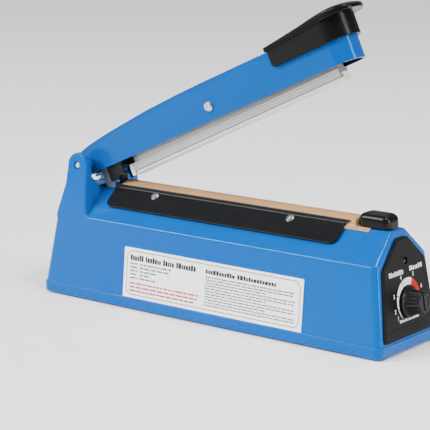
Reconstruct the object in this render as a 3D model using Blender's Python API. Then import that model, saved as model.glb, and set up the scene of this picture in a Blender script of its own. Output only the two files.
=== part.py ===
"""Hand impulse heat sealer: housing with bed, hinged arm with floating press bar, timer knob.

The drawing units are millimetres. X runs along the sealer (hinge at -X, control panel at +X),
-Y is the operator's side and Z is up from the rim of the housing. place() turns a drawing point
into metres in the shared frame, where the feet stand on Z = 0.
"""
import math

import bmesh
import bpy
from mathutils import Matrix, Vector

MM = 0.001
SHIFT_X = -2.46         # centres the whole bounding box on X
LIFT = 1.5              # the feet stand this far below the rim
GAP = 0.3               # air between pieces that touch

# housing
HALF_LENGTH = 160.0
HALF_WIDTH = 40.0
WALL = 2.6
RIM_Z = 8.0
RIM_STEP = 0.7
SHOULDER_Z = 64.0
SHOULDER_Y = 34.1
TOP_Z = 84.7
TOP_HALF = 9.45
FRONT_LEAN = 0.1393     # mm of X per mm of Z on the panel end
REAR_LEAN = 0.166
SLOPE = math.atan2(TOP_Z - SHOULDER_Z, SHOULDER_Y - TOP_HALF)
EAR_INNER_Y = 23.3
EAR_R = 9.8
OPENING_X = (-127.5, -104.2)
OPENING_Y = 9.2
PANEL_ANGLE = math.atan(FRONT_LEAN)
PANEL_FOOT_X = HALF_LENGTH - RIM_STEP + FRONT_LEAN * RIM_Z

# hinge and arm
PIN_X = -130.1
PIN_Z = 103.5
PIN_R = 2.6
PIN_V = 8.9             # the pin's height above the arm's lower edge
OPEN_ANGLE = math.radians(24.4)
ARM_HALF = 14.4
ARM_WALL = 1.8
ARM_NOSE_U = 250.5
ARM_TOP = ((-6.4, 20.1), (2.0, 22.2), (19.4, 24.3), (31.4, 25.4), (55.0, 27.2), (72.0, 28.3),
           (105.0, 29.4), (130.0, 29.7), (275.0, 29.7))

# floating press bar
PIVOT_U = 132.0
PIVOT_V = 10.7
BAR_TILT = math.radians(0.9)   # nose-up against the arm while the sealer is open
BAR_U = (34.2, 246.0)
SILICONE_U = (35.4, 247.4)
SILICONE_LOW = -22.9    # below the pivot

# bed
BED_X = (-103.5, 117.0)
BED_HALF = 8.6
PLATE_X = (-105.8, 110.8)
PLATE_LOW_S = 13.0
FLANGE_Y = (9.4, 10.6)
FLANGE_TOP = 89.1
FLANGE_END_X = 113.8
CLAMP_SCREW_X = (-64.0, 64.0)
CLAMP_SCREW_S = 28.6
CAP_X = (118.6, 144.8)
SHEET_END_X = 131.0

# pusher, rod and spring
ROD_X = -109.5
ROD_R = 1.5
ROD_DOME_R = 6.0
ROD_HEAD_R = 4.6
PUSHER_V = -3.5
SEAT_Z = 70.0

# panel
DIAL_S = 33.7
LAMP_Y = 1.0
LAMP_S = 63.6
KNOB_H = 15.4

FOOT_XY = ((-138.0, -27.0), (-138.0, 27.0), (138.0, -27.0), (138.0, 27.0))


# ---------------------------------------------------------------- frames
def place(x, y, z):
    return Vector(((x + SHIFT_X) * MM, y * MM, (z + LIFT) * MM))


def arm_at(u, v, y):
    """A point in the arm's own axes: u along its lower edge from the pin, v above that edge."""
    cos, sin = math.cos(OPEN_ANGLE), math.sin(OPEN_ANGLE)
    dv = v - PIN_V
    return place(PIN_X + u * cos - dv * sin, y, PIN_Z + u * sin + dv * cos)


def bar_at(a, b, y):
    """A point in the press bar's axes: a along it and b above it, both from its pivot."""
    cos, sin = math.cos(BAR_TILT), math.sin(BAR_TILT)
    return arm_at(PIVOT_U + a * cos - b * sin, PIVOT_V + a * sin + b * cos, y)


def slope_at(x, s, h, side):
    """A point on a shoulder: s up the slope from its lower edge and h off its surface."""
    cos, sin = math.cos(SLOPE), math.sin(SLOPE)
    return place(x, side * (SHOULDER_Y - s * cos + h * sin), SHOULDER_Z + s * sin + h * cos)


def panel_at(y, s, h):
    """A point on the panel end: s up the face from the rim's foot and h off its surface."""
    cos, sin = math.cos(PANEL_ANGLE), math.sin(PANEL_ANGLE)
    return place(PANEL_FOOT_X - s * sin + h * cos, y, s * cos + h * sin)


def side_at(x, z, h):
    """A point on the operator's side face, h off its surface."""
    lean = math.atan2(HALF_WIDTH - RIM_STEP - SHOULDER_Y, SHOULDER_Z - RIM_Z)
    y = HALF_WIDTH - RIM_STEP - (z - RIM_Z) * math.tan(lean)
    return place(x, -(y + h * math.cos(lean)), z + h * math.sin(lean))


# ---------------------------------------------------------------- builders
def clear_scene():
    for obj in list(bpy.data.objects):
        bpy.data.objects.remove(obj, do_unlink=True)


def material(name, color, metallic=0.0, roughness=0.5, alpha=1.0):
    mat = bpy.data.materials.new(name)
    mat.use_nodes = True
    shader = mat.node_tree.nodes["Principled BSDF"]
    shader.inputs["Base Color"].default_value = (*color, 1.0)
    shader.inputs["Metallic"].default_value = metallic
    shader.inputs["Roughness"].default_value = roughness
    shader.inputs["Alpha"].default_value = alpha
    mat.diffuse_color = (*color, alpha)
    return mat


def solid(name, verts, faces, mat, origin):
    """One closed object whose origin is the given point; faces are turned outwards."""
    mesh = bpy.data.meshes.new(name)
    mesh.from_pydata([tuple(p - origin) for p in verts], [], faces)
    bm = bmesh.new()
    bm.from_mesh(mesh)
    bmesh.ops.recalc_face_normals(bm, faces=bm.faces[:])
    bm.to_mesh(mesh)
    bm.free()
    obj = bpy.data.objects.new(name, mesh)
    obj.location = origin
    if mat:
        mesh.materials.append(mat)
    bpy.context.scene.collection.objects.link(obj)
    return obj


def slab(name, outline, at, h0, h1, mat, origin):
    """The outline's (a, b) points carried from h0 to h1; at(a, b, h) gives each point."""
    n = len(outline)
    verts = [at(a, b, h) for h in (h0, h1) for a, b in outline]
    faces = [list(range(n)), list(range(n, 2 * n))]
    faces += [[i, (i + 1) % n, n + (i + 1) % n, n + i] for i in range(n)]
    return solid(name, verts, faces, mat, origin)


def loft(name, rings, mat, origin):
    """A solid through rings of the same number of points, closed at both ends."""
    n = len(rings[0])
    verts = [p for ring in rings for p in ring]
    faces = [list(range(n)), list(range(len(verts) - n, len(verts)))]
    for k in range(len(rings) - 1):
        low, high = k * n, (k + 1) * n
        faces += [[low + i, low + (i + 1) % n, high + (i + 1) % n, high + i] for i in range(n)]
    return solid(name, verts, faces, mat, origin)


def turned(name, profile, centre, axis, mat, origin, count=28):
    """A profile of (radius, height) pairs turned about an axis; radius 0 closes an end."""
    turn = Vector((0, 0, 1)).rotation_difference(Vector(axis).normalized())
    verts = []
    index = []
    for radius, height in profile:
        if radius < 1e-6:
            index.append([len(verts)] * count)
            verts.append(centre + turn @ Vector((0, 0, height * MM)))
            continue
        index.append(list(range(len(verts), len(verts) + count)))
        for k in range(count):
            t = 2 * math.pi * k / count
            spot = Vector((radius * math.cos(t), radius * math.sin(t), height)) * MM
            verts.append(centre + turn @ spot)
    faces = []
    pairs = list(zip(index, index[1:]))
    if profile[0][0] > 1e-6 and profile[-1][0] > 1e-6:
        pairs.append((index[-1], index[0]))
    for low, high in pairs:
        for k in range(count):
            m = (k + 1) % count
            corners = [low[k], low[m], high[m], high[k]]
            faces.append(list(dict.fromkeys(corners)))
    return solid(name, verts, faces, mat, origin)


def rod(name, r, h0, h1, centre, axis, mat, origin, count=28):
    return turned(name, ((0, h0), (r, h0), (r, h1), (0, h1)), centre, axis, mat, origin, count)


def block(name, x, y, z, mat, origin):
    outline = ((x[0], y[0]), (x[1], y[0]), (x[1], y[1]), (x[0], y[1]))
    return slab(name, outline, place, z[0], z[1], mat, origin)


def combine(target, tools, operation):
    """Applies one Boolean after another and removes the cutters."""
    for tool in tools:
        tool.hide_render = True
        tool.display_type = "WIRE"
        mod = target.modifiers.new("cut", "BOOLEAN")
        mod.operation = operation
        mod.solver = "EXACT"
        mod.object = tool
        graph = bpy.context.evaluated_depsgraph_get()
        mesh = bpy.data.meshes.new_from_object(target.evaluated_get(graph))
        target.modifiers.clear()
        target.data = mesh
        bpy.data.objects.remove(tool, do_unlink=True)
    return target


def clean(obj):
    """Joins points that a Boolean left doubled and cuts the faces into triangles."""
    bm = bmesh.new()
    bm.from_mesh(obj.data)
    bmesh.ops.remove_doubles(bm, verts=bm.verts[:], dist=0.00001)
    bmesh.ops.dissolve_degenerate(bm, edges=bm.edges[:], dist=0.00001)
    bmesh.ops.triangulate(bm, faces=bm.faces[:])
    bm.to_mesh(obj.data)
    bm.free()
    return obj


def hex_nut(name, bore, outer, h0, h1, centre, axis, mat, origin):
    nut = rod(name, outer, h0, h1, centre, axis, mat, origin, 6)
    hole = rod("tool", bore, h0 - 1, h1 + 1, centre, axis, None, origin, 24)
    return clean(combine(nut, [hole], "DIFFERENCE"))


def arc(cx, cy, r, start, end, count):
    turns = [math.radians(start + (end - start) * k / count) for k in range(count + 1)]
    return [(cx + r * math.cos(t), cy + r * math.sin(t)) for t in turns]


def rounded(x0, x1, y0, y1, r, count=5):
    points = arc(x1 - r, y1 - r, r, 0, 90, count) + arc(x0 + r, y1 - r, r, 90, 180, count)
    return points + arc(x0 + r, y0 + r, r, 180, 270, count) + arc(x1 - r, y0 + r, r, 270, 360, count)


def screw(name, centre, axis, head_r, head_h, shank_r, length, mat, origin):
    """A cross-head screw: the head stands off the surface along the axis, the shank goes in."""
    profile = ((0, -length), (shank_r, -length), (shank_r, 0), (head_r, 0),
               (head_r, head_h * 0.45), (head_r * 0.72, head_h), (0, head_h))
    obj = turned(name, profile, centre, axis, mat, origin, 20)
    turn = Vector((0, 0, 1)).rotation_difference(Vector(axis).normalized())

    def at(a, b, h):
        return centre + turn @ (Vector((a, b, h)) * MM)

    long, thin = head_r * 0.52, head_r * 0.13
    cross = ((-long, -thin), (-thin, -thin), (-thin, -long), (thin, -long), (thin, -thin),
             (long, -thin), (long, thin), (thin, thin), (thin, long), (-thin, long),
             (-thin, thin), (-long, thin))
    tool = slab("tool", cross, at, head_h * 0.45, head_h * 2, None, origin)
    return clean(combine(obj, [tool], "DIFFERENCE"))


# ---------------------------------------------------------------- housing
def shell_ring(z, hy, r, inset=0.0):
    base = HALF_LENGTH - RIM_STEP
    high = max(z - RIM_Z, 0.0)
    x1 = base - FRONT_LEAN * high
    x0 = -(base - REAR_LEAN * high)
    if z < RIM_Z - 0.1:
        x0, x1 = x0 - RIM_STEP, x1 + RIM_STEP
    return [place(x, y, z) for x, y in rounded(x0 + inset, x1 - inset, -hy, hy, r)]


def ear_tool(side):
    left = [(-149.2, 62.0), (-141.3, 88.0), (-140.1, 101.0)]
    crown = arc(PIN_X, PIN_Z, EAR_R, 170, 12, 12)
    right = [(-119.6, 98.0), (-119.0, 76.0), (-118.1, 70.0), (-115.2, 65.4), (-113.0, 62.0)]
    outline = left + crown + right

    def at(x, z, h):
        outer = SHOULDER_Y + 0.05 - 0.105 * (z - SHOULDER_Z)
        return place(x, side * (outer if h else EAR_INNER_Y), z)

    return slab("tool", outline, at, 0, 1, None, place(0, 0, 0))


def gusset(side):
    """The sloping foot inside each ear, above the housing's slope."""
    section = ((24.5, 95.0), (23.2, 94.0), (14.8, 84.8), (14.8, 79.8), (24.5, 71.4))

    def at(y, z, x):
        return place(x, side * y, z)

    return slab("tool", section, at, -146.0, -119.4, None, place(0, 0, 0))


def build_housing(mat):
    zero = place(0, 0, 0)
    side = HALF_WIDTH - RIM_STEP
    outer = [shell_ring(0.0, HALF_WIDTH, 6.0), shell_ring(7.6, HALF_WIDTH, 6.0),
             shell_ring(8.4, side, 5.5), shell_ring(62.5, 34.25, 5.0),
             shell_ring(65.0, 32.85, 4.2), shell_ring(83.9, 10.4, 2.6), shell_ring(84.7, 9.0, 2.0, 0.6)]
    inner = [shell_ring(-1.0, HALF_WIDTH - WALL, 3.6, WALL), shell_ring(8.4, side - WALL, 3.4, WALL),
             shell_ring(62.8, 31.6, 3.0, WALL), shell_ring(82.1, 8.5, 1.6, WALL)]
    shell = loft("base_housing", outer, mat, zero)
    combine(shell, [loft("tool", inner, None, zero)], "DIFFERENCE")
    combine(shell, [ear_tool(-1), ear_tool(1), gusset(-1), gusset(1)], "UNION")
    posts = []
    for x, y in FOOT_XY:
        edge = 37.2 if y > 0 else -37.2
        near = y - math.copysign(4.5, y)
        posts.append(block("tool", (x - 4.5, x + 4.5), sorted((near, edge)), (3.2, 24.0), None, zero))
    for turn in (-1, 1):
        rail = sorted((turn * 31.0, turn * 36.0))
        posts.append(block("tool", (88.0, 128.0), rail, (25.0, 28.0), None, zero))
    combine(shell, posts, "UNION")
    up = (0, 0, 1)
    normal = (math.cos(PANEL_ANGLE), 0, math.sin(PANEL_ANGLE))
    cuts = [block("tool", OPENING_X, (-OPENING_Y, OPENING_Y), (75.0, 90.0), None, zero)]
    cuts.append(rod("tool", PIN_R + 0.05, -45, 45, place(PIN_X, 0, PIN_Z), (0, 1, 0), None, zero))
    cuts.append(rod("tool", 3.8, -12, 8, panel_at(0, DIAL_S, 0), normal, None, zero))
    cuts.append(rod("tool", 2.9, -12, 8, panel_at(LAMP_Y, LAMP_S, 0), normal, None, zero))
    cuts.append(rod("tool", 5.2, -10, 10, place(-156.0, 0, 22.0), (-1, 0, 0), None, zero))
    for x, y in FOOT_XY:
        cuts.append(rod("tool", 1.6, 0, 19, place(x, y, 2), up, None, zero, 16))
    for x in CLAMP_SCREW_X:
        for turn in (-1, 1):
            outward = (0, turn * math.sin(SLOPE), math.cos(SLOPE))
            cuts.append(rod("tool", 1.6, -8, 3, slope_at(x, CLAMP_SCREW_S, 0, turn), outward, None, zero, 16))
    return clean(combine(shell, cuts, "DIFFERENCE"))


def build_underside(steel, rubber, zinc):
    zero = place(0, 0, 0)
    up = (0, 0, 1)
    outline = rounded(-156.6, 156.6, -36.6, 36.6, 3.0)
    plate = slab("bottom_plate", outline, place, 1.6, 2.8, steel, zero)
    holes = [rod("tool", 2.0, 0, 5, place(x, y, 0), up, None, zero, 16) for x, y in FOOT_XY]
    clean(combine(plate, holes, "DIFFERENCE"))
    for k, (x, y) in enumerate(FOOT_XY, 1):
        foot = ((2.1, 0.2), (2.1, 1.3), (6.9, 1.3), (6.9, 0.6), (6.2, -LIFT), (4.2, -LIFT), (4.2, 0.2))
        turned("foot_%d" % k, foot, place(x, y, 0), up, rubber, zero, 24)
        spot = place(x, y, -0.1)
        screw("base_screw_%d" % k, spot, (0, 0, -1), 3.2, 1.2, 1.4, 17.0, zinc, zero)


# ---------------------------------------------------------------- panel and knob
def panel_outline():
    points = arc(29.6, 14.2, 4.6, -90, -6, 4) + arc(24.3, 58.8, 4.0, -6, 49, 4)
    points += arc(4.5, 76.6, 4.0, 49, 90, 3)
    return points + [(-y, s) for y, s in reversed(points)]


def build_panel(black, red, steel, zinc, knob_mat):
    zero = place(0, 0, 0)
    normal = (math.cos(PANEL_ANGLE), 0, math.sin(PANEL_ANGLE))
    dial = panel_at(0, DIAL_S, 0)
    lamp = panel_at(LAMP_Y, LAMP_S, 0)
    panel = slab("control_panel", panel_outline(), panel_at, GAP, 1.8, black, zero)
    holes = [rod("tool", 3.8, -1, 4, dial, normal, None, zero),
             rod("tool", 2.9, -1, 4, lamp, normal, None, zero)]
    clean(combine(panel, holes, "DIFFERENCE"))
    lens = ((0, -6), (2.6, -6), (2.6, 0.5), (2.2, 1.0), (1.2, 1.3), (0, 1.4))
    turned("indicator_lens", lens, lamp, normal, red, zero, 20)
    pot = ((0, -17), (8.5, -17), (8.5, -4.5), (3.5, -4.5), (3.5, 4.6), (2.9, 4.6), (2.9, 13), (0, 13))
    turned("timer_pot", pot, dial, normal, steel, zero)
    hex_nut("pot_nut", 3.7, 6.0, 2.1, 4.2, dial, normal, zinc, zero)
    build_knob(dial, normal, knob_mat)


def build_knob(dial, normal, mat):
    turn = Vector((0, 0, 1)).rotation_difference(Vector(normal).normalized())
    count = 90

    def ring(r, rib, h):
        points = []
        for k in range(count):
            t = 2 * math.pi * k / count
            radius = r - (rib if k % 5 in (0, 4) else 0)
            spot = Vector((radius * math.cos(t), radius * math.sin(t), h)) * MM
            points.append(dial + turn @ spot)
        return points

    rings = [ring(10.5, 0, 2.2), ring(10.5, 0, 3.7), ring(9.4, 0.6, 4.5), ring(8.0, 0.6, 14.4),
             ring(7.3, 0.3, KNOB_H)]
    knob = loft("timer_knob", rings, mat, dial)
    bore = rod("tool", 3.0, 0, 13.8, dial, normal, None, dial)
    pocket = rod("tool", 7.2, 0, 5.0, dial, normal, None, dial)
    return clean(combine(knob, [bore, pocket], "DIFFERENCE"))


def build_label(mat):
    outline = rounded(-75.6, 92.6, 7.9 + RIM_STEP, 47.3, 2.6, 4)
    return slab("instruction_label", outline, side_at, 0.12, 0.42, mat, place(0, 0, 0))


# ---------------------------------------------------------------- bed
def build_bed(aluminium, nichrome, ptfe, plate_mat, zinc, cap_mat, brass):
    zero = place(0, 0, 0)
    low = TOP_Z + GAP
    crown = ((-BED_HALF, low), (BED_HALF, low), (BED_HALF, 87.9), (7.6, 88.8), (3.0, 90.0),
             (-3.0, 90.0), (-7.6, 88.8), (-BED_HALF, 87.9))

    def along(y, z, x):
        return place(x, y, z)

    slab("bed_bar", crown, along, BED_X[0], BED_X[1], aluminium, zero)
    wire = ((-1.4, 90.15), (1.4, 90.15), (1.4, 90.45), (-1.4, 90.45))
    slab("heating_element", wire, along, BED_X[0] - 0.4, BED_X[1] + 0.9, nichrome, zero)
    build_sheet(ptfe)
    for side, label in ((-1, "front"), (1, "back")):
        build_plate(side, label, plate_mat, zinc)
    cap = [(85.6, 0.0), (86.5, 0.0), (91.5, 0.5), (94.0, 1.7), (95.3, 4.2)]
    rings = [[place(x, y, z) for x, y in rounded(CAP_X[0] + i, CAP_X[1] - i * 1.4, -9.4 + i, 9.4 - i,
                                                 3.4 - i * 0.4)] for z, i in cap]
    loft("terminal_cap", rings, cap_mat, zero)
    rear, nose = BED_X[0] - GAP, BED_X[1] + GAP
    block("rear_terminal", (rear - 0.6, rear), (-2.2, 2.2), (85.2, 89.8), brass, zero)
    block("front_terminal", (nose, nose + 0.9), (-2.2, 2.2), (85.6, 89.8), brass, zero)


def build_sheet(mat):
    """The non-stick fabric over the bed, its edges tucked under the clamp plates."""
    half = [(0.0, 90.75), (3.1, 90.75), (7.8, 89.2), (9.0, 88.1)]
    cos, sin = math.cos(SLOPE), math.sin(SLOPE)
    foot = []
    for s, h in ((31.9, 0.45), (30.4, 0.45)):
        foot.append((SHOULDER_Y - s * cos + h * sin, SHOULDER_Z + s * sin + h * cos))
    inner = half + [(9.0, foot[0][1] + 0.5)] + foot[1:]
    outer = [(0.0, 91.05), (3.2, 91.05), (8.0, 89.47), (9.3, 88.2), (9.3, foot[0][1] + 0.75),
             (foot[1][0] + 0.19, foot[1][1] + 0.23)]
    loop = inner + outer[::-1]
    loop = [(-y, z) for y, z in inner[:0:-1]] + inner + outer[::-1] + [(-y, z) for y, z in outer[1:]]

    def along(y, z, x):
        return place(x, y, z)

    zero = place(0, 0, 0)
    sheet = slab("ptfe_sheet", loop, along, BED_X[0] - 0.2, BED_X[1] + 1.2, mat, zero)
    flat = [(9.3, 85.0), inner[-1], outer[-1], (9.45, 85.3)]
    loop = flat + [(-y, z) for y, z in reversed(flat)]
    tail = slab("tool", loop, along, BED_X[1] + 0.9, SHEET_END_X, None, zero)
    return clean(combine(sheet, [tail], "UNION"))


def build_plate(side, label, mat, zinc):
    zero = place(0, 0, 0)
    low, high = 0.9, 2.1
    bend = (SHOULDER_Y + low * math.sin(SLOPE) - FLANGE_Y[0] - 0.15) / math.cos(SLOPE)
    x0, x1 = PLATE_X
    outline = arc(x0 + 5, PLATE_LOW_S + 5, 5, 180, 270, 4) + arc(x1 - 5, PLATE_LOW_S + 5, 5, 270, 360, 4)
    outline += [(x1, bend), (x0, bend)]

    def at(x, s, h):
        return slope_at(x, s, h, side)

    plate = slab("clamp_plate_" + label, outline, at, low, high, mat, zero)
    ys = sorted((side * FLANGE_Y[0], side * FLANGE_Y[1]))
    flange = block("tool", (x0, FLANGE_END_X), ys, (85.9, FLANGE_TOP), None, zero)
    combine(plate, [flange], "UNION")
    outward = (0, side * math.sin(SLOPE), math.cos(SLOPE))
    tools = [rod("tool", 1.8, -3, 6, slope_at(x, CLAMP_SCREW_S, 0, side), outward, None, zero, 16)
             for x in CLAMP_SCREW_X]
    clean(combine(plate, tools, "DIFFERENCE"))
    for x in CLAMP_SCREW_X:
        name = "clamp_screw_%s_%s" % (label, "rear" if x < 0 else "nose")
        spot = slope_at(x, CLAMP_SCREW_S, high + 0.05, side)
        screw(name, spot, outward, 3.3, 1.5, 1.4, 9.0, zinc, zero)


# ---------------------------------------------------------------- arm
def arm_top(u):
    for (u0, v0), (u1, v1) in zip(ARM_TOP, ARM_TOP[1:]):
        if u <= u1:
            return v0 + (v1 - v0) * (u - u0) / (u1 - u0)
    return ARM_TOP[-1][1]


def arm_body(name, grow, low, mat, origin, tail=-6.4, top=0.0):
    """The arm's outer form, grown by a margin: side outline cut to the rounded plan."""
    outline = [(tail - grow, low)]
    outline += [(tail - grow, arm_top(tail) + grow + top - 1.5), (tail - grow + 1.2, arm_top(tail) + grow + top)]
    outline += [(u, v + grow + top) for u, v in ARM_TOP if u > tail + 1.3]
    outline += [(275.0, low)]
    body = slab(name, outline, lambda a, b, y: arm_at(a, b, y), -40, 40, mat, origin)
    half = ARM_HALF + grow
    plan = arc(ARM_NOSE_U, 0, half, -90, 90, 16) + [(tail - 20, half), (tail - 20, -half)]
    tool = slab("tool", plan, lambda a, y, v: arm_at(a, v, y), -60, 90, None, origin)
    return combine(body, [tool], "INTERSECT")


def build_arm(blue, zinc, steel, black, origin):
    arm = arm_body("arm_channel", 0.0, 0.0, blue, origin)
    cavity = arm_body("tool", -ARM_WALL, -5.0, None, origin)
    combine(arm, [cavity], "DIFFERENCE")
    sideways = (0, 1, 0)
    cuts = [rod("tool", PIN_R + 0.06, -20, 20, arm_at(0, PIN_V, 0), sideways, None, origin),
            rod("tool", 2.2, -20, 20, arm_at(PIVOT_U, PIVOT_V, 0), sideways, None, origin, 20)]
    up = (-math.sin(OPEN_ANGLE), 0, math.cos(OPEN_ANGLE))
    cuts.append(rod("tool", 1.8, 20, 36, arm_at(236, 0, 0), up, None, origin, 16))
    clean(combine(arm, cuts, "DIFFERENCE"))
    spot = arm_at(PIVOT_U, PIVOT_V, -ARM_HALF - 0.1)
    screw("pivot_screw", spot, (0, -1, 0), 4.0, 1.9, 2.0, 33.5, zinc, origin)
    spot = arm_at(PIVOT_U, PIVOT_V, ARM_HALF + 0.1)
    hex_nut("pivot_nut", 2.15, 3.9, 0.0, 3.0, spot, sideways, zinc, origin)
    down = tuple(-c for c in up)
    head = arm_at(236, ARM_TOP[-1][1] - ARM_WALL - 0.1, 0)
    screw("grip_screw", head, down, 3.4, 1.6, 1.4, 8.0, zinc, origin)
    build_pusher(black, steel, zinc, origin)


def build_pusher(black, steel, zinc, origin):
    """The saddle that works the return rod, and the galvanised guide plate behind it."""
    legs = ((13.2, 21.2), (13.2, -12.0), (20.5, -12.0), (22.0, -9.3), (29.0, -9.3), (29.0, 22.9))
    saddle = slab("pusher_block", legs, lambda a, b, y: arm_at(a, b, y), -12.3, 12.3, black, origin)
    slot = ((5.0, PUSHER_V), (5.0, -20.0), (40.0, -20.0), (40.0, PUSHER_V))
    inner = slab("tool", slot, lambda a, b, y: arm_at(a, b, y), -11.0, 11.0, None, origin)
    clean(combine(saddle, [inner], "DIFFERENCE"))
    sheet = ((4.0, 4.0), (4.0, -15.5), (5.2, -16.6), (11.8, -16.6), (12.9, -15.5), (12.9, 4.0))
    plate = slab("pusher_bracket", sheet, lambda a, b, y: arm_at(a, b, y), -8.9, 8.9, steel, origin)
    void = ((0.0, 2.6), (0.0, -20.0), (20.0, -20.0), (20.0, 2.6))
    inside = slab("tool", void, lambda a, b, y: arm_at(a, b, y), -7.9, 7.9, None, origin)
    clean(combine(plate, [inside], "DIFFERENCE"))
    fork = ((10.5, -0.4), (-5.2, -0.4), (-5.6, -2.4), (8.2, -2.4), (8.2, -4.8), (-4.6, -4.8),
            (-5.0, -6.4), (10.5, -6.4))
    slab("link_fork", fork, lambda a, b, y: arm_at(a, b, y), -7.5, 7.5, zinc, origin)


def build_grip(mat, origin):
    """The moulded cap over the arm's nose, with a skirt and an overhanging thumb rest."""
    skirt = ((200.8, 30.6), (200.8, 18.4), (202.4, 16.6), (262.0, 16.6), (290.0, 17.2), (290.0, 35.2))
    grip = slab("handle_grip", skirt, lambda a, b, y: arm_at(a, b, y), -40, 40, mat, origin)
    half = ARM_HALF + 2.7
    plan = arc(ARM_NOSE_U, 0, half, -90, 90, 16) + [(170, half), (170, -half)]
    tool = slab("tool", plan, lambda a, y, v: arm_at(a, v, y), -60, 90, None, origin)
    combine(grip, [tool], "INTERSECT")
    crest = ((199.0, 29.2), (199.4, 31.9), (210.0, 33.2), (222.0, 34.6), (236.0, 36.5),
             (249.0, 38.6), (258.0, 39.7), (266.0, 39.7), (272.0, 38.6), (276.7, 36.9),
             (276.7, 34.4), (270.0, 33.0), (255.0, 32.8), (242.0, 31.9), (229.0, 30.6), (201.0, 28.9))
    lip = slab("tool", crest, lambda a, b, y: arm_at(a, b, y), -40, 40, None, origin)
    half = ARM_HALF + 4.2
    plan = arc(258.1, 0, half, -90, 90, 16) + [(170, half), (170, -half)]
    tool = slab("tool", plan, lambda a, y, v: arm_at(a, v, y), -60, 90, None, origin)
    combine(lip, [tool], "INTERSECT")
    combine(grip, [lip], "UNION")
    combine(grip, [arm_body("tool", GAP, -5.0, None, origin)], "DIFFERENCE")
    up = (-math.sin(OPEN_ANGLE), 0, math.cos(OPEN_ANGLE))
    hole = rod("tool", 1.6, 20, 39, arm_at(236, 0, 0), up, None, origin, 16)
    return clean(combine(grip, [hole], "DIFFERENCE"))


# ---------------------------------------------------------------- press bar
def build_press_bar(aluminium, silicone, white, origin):
    """An extrusion on a web; the silicone strip is held in its lower slot."""
    half = [(0.0, 3.4), (2.4, 3.4), (2.4, -13.4), (5.4, -13.4), (5.8, -13.8), (5.8, -15.2),
            (5.5, -15.4), (5.5, -15.6), (5.8, -15.8), (5.8, -17.7), (5.5, -17.9), (5.5, -18.1),
            (5.8, -18.3), (5.8, -19.5), (5.4, -19.9), (3.4, -19.9), (3.4, -19.0), (4.6, -19.0),
            (4.6, -16.6), (0.0, -16.6)]
    outline = half + [(-y, b) for y, b in reversed(half[1:-1])]
    a0, a1 = BAR_U[0] - PIVOT_U, BAR_U[1] - PIVOT_U
    bar = slab("press_bar", outline, lambda y, b, a: bar_at(a, b, y), a0, a1, aluminium, origin)
    hole = rod("tool", 2.1, -20, 20, bar_at(0, 0, 0), (0, 1, 0), None, origin, 20)
    clean(combine(bar, [hole], "DIFFERENCE"))
    half = [(0.0, -16.9), (4.3, -16.9), (4.3, -18.7), (3.1, -18.7), (3.1, -20.2), (4.9, -20.2),
            (5.4, -20.6), (5.4, -22.1), (5.1, -22.6), (4.5, SILICONE_LOW), (0.0, SILICONE_LOW)]
    outline = half + [(-y, b) for y, b in reversed(half[1:-1])]
    a0, a1 = SILICONE_U[0] - PIVOT_U, SILICONE_U[1] - PIVOT_U
    slab("silicone_strip", outline, lambda y, b, a: bar_at(a, b, y), a0, a1, silicone, origin)
    end = BAR_U[0] - PIVOT_U
    piece = ((-5.6, -13.5), (5.6, -13.5), (5.6, -22.6), (-5.6, -22.6))
    slab("bar_end_piece", piece, lambda y, b, a: bar_at(a, b, y), end - 3.8, end - 0.3, white, origin)


# ---------------------------------------------------------------- hinge, rod and spring
def build_hinge(zinc, nylon):
    pin = place(PIN_X, 0, PIN_Z)
    zero = place(0, 0, 0)
    profile = ((0, -29.2), (1.9, -29.2), (PIN_R, -28.6), (PIN_R, 28.6), (1.9, 29.2), (0, 29.2))
    turned("hinge_pin", profile, pin, (0, 1, 0), zinc, zero, 28)
    for side, label in ((-1, "front"), (1, "back")):
        ends = sorted((side * (ARM_HALF + GAP), side * (EAR_INNER_Y - GAP)))
        tube = ((2.9, ends[0]), (4.4, ends[0]), (4.4, ends[1]), (2.9, ends[1]))
        turned("pin_spacer_" + label, tube, pin, (0, 1, 0), nylon, zero, 24)


def rod_centre_z():
    cos, sin = math.cos(OPEN_ANGLE), math.sin(OPEN_ANGLE)
    drop = PIN_V - PUSHER_V + ROD_DOME_R + 0.35
    return PIN_Z + ((ROD_X - PIN_X) * sin - drop) / cos


def build_rod(zinc, spring_mat):
    centre = rod_centre_z()
    origin = place(ROD_X, 0, centre)
    rim = math.sqrt(ROD_DOME_R ** 2 - ROD_HEAD_R ** 2)
    under = rim - 1.6
    dome = []
    for k in range(6):
        t = math.asin(ROD_HEAD_R / ROD_DOME_R) * (1 - k / 5)
        dome.append((ROD_DOME_R * math.sin(t), ROD_DOME_R * math.cos(t)))
    foot = 58.0 - centre
    profile = [(0, foot), (ROD_R, foot), (ROD_R, under), (ROD_HEAD_R, under)] + dome
    turned("push_rod", profile, origin, (0, 0, 1), zinc, origin, 28)
    build_spring(centre + under, spring_mat)


def build_spring(top, mat):
    wire, coil, turns, steps, sides = 0.55, 3.9, 7.0, 16, 6
    low, high = SEAT_Z + 1.5 + GAP + wire, top - GAP - wire
    count = int(turns * steps)
    rings = []
    for k in range(count + 1):
        t = 2 * math.pi * turns * k / count
        out = Vector((math.cos(t), math.sin(t), 0))
        mid = Vector((ROD_X, 0, low + (high - low) * k / count)) + out * coil
        ring = []
        for j in range(sides):
            w = 2 * math.pi * j / sides
            spot = mid + out * (wire * math.cos(w)) + Vector((0, 0, wire * math.sin(w)))
            ring.append(place(*spot))
        rings.append(ring)
    return loft("return_spring", rings, mat, place(ROD_X, 0, low))


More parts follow.
